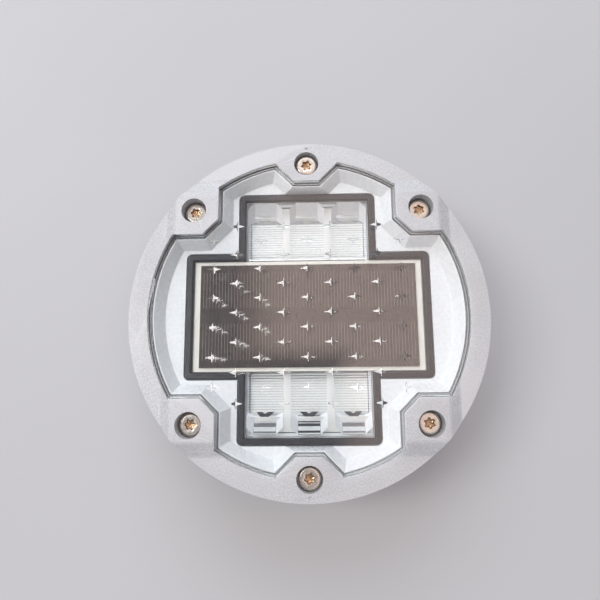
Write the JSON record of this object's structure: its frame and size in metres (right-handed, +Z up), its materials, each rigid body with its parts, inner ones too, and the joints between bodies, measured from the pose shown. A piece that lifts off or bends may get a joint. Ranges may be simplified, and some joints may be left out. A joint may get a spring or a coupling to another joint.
{
  "type": "raised pavement marker",
  "caption": "Round solar road stud: cast ring and buried housing, clear faceted cover, cross-shaped chamber with a solar panel and lamps facing both ways.",
  "frame": {"origin": "centre of the flat underside of the buried housing, on the marker's axis", "axes": "+Z up out of the road; +Y and -Y are the two directions the lamps face; +X along the panel's long side"},
  "size_m": [0.14, 0.14, 0.0525],
  "materials": {
    "housing": "as cast, matt",
    "ring": "shot blasted silver, satin",
    "cover": "clear polycarbonate, polished",
    "gasket": "matt silicone",
    "reflector": "white, semi-gloss",
    "seal": "black silicone, satin",
    "carrier": "white, satin",
    "panel_white": "cream solder mask, satin",
    "silicon": "dark cells under clear resin, gloss",
    "lens": "clear acrylic, polished",
    "lamp": "white package, yellow phosphor",
    "lamp_board": "white solder mask",
    "screw": "passivated stainless, warm tint",
    "board_green": "green solder mask",
    "chip": "black moulding",
    "nickel": "nickel plated",
    "holder": "black moulding",
    "cell": "shrink sleeve",
    "wire_red": "vinyl sleeve",
    "wire_black": "vinyl sleeve",
    "wire_white": "vinyl sleeve"
  },
  "bodies": {
    "root": {"base_housing": "housing", "top_ring": "ring", "lens_cover": "cover", "cover_gasket": "gasket", "reflector_tray": "reflector", "chamber_seal": "seal", "component_carrier": "carrier", "panel_board": "panel_white", "solar_cells_north": "silicon", "solar_cells_south": "silicon", "control_board": "board_green", "controller_chip": "chip", "charge_inductor": "chip", "storage_capacitor": "nickel", "battery_socket": "lamp_board", "battery_holder": "holder", "battery_cell_north": "cell", "battery_cell_south": "cell", "cell_link": "nickel", "battery_lead_red": "wire_red", "battery_lead_black": "wire_black", "solar_lead_red": "wire_red", "solar_lead_black": "wire_black", "led_lead_north": "wire_white", "led_lead_south": "wire_white", "led_board_north": "lamp_board", "led_board_south": "lamp_board", "led_lens_north_1": "lens", "led_north_1": "lamp", "led_lens_north_2": "lens", "led_north_2": "lamp", "led_lens_north_3": "lens", "led_north_3": "lamp", "led_lens_south_1": "lens", "led_south_1": "lamp", "led_lens_south_2": "lens", "led_south_2": "lamp", "led_lens_south_3": "lens", "led_south_3": "lamp", "ring_screw_northeast": "screw", "ring_screw_north": "screw", "ring_screw_northwest": "screw", "ring_screw_southwest": "screw", "ring_screw_south": "screw", "ring_screw_southeast": "screw", "board_screw_1": "nickel", "board_screw_2": "nickel", "board_screw_3": "nickel", "board_screw_4": "nickel"}
  },
  "joints": []
}
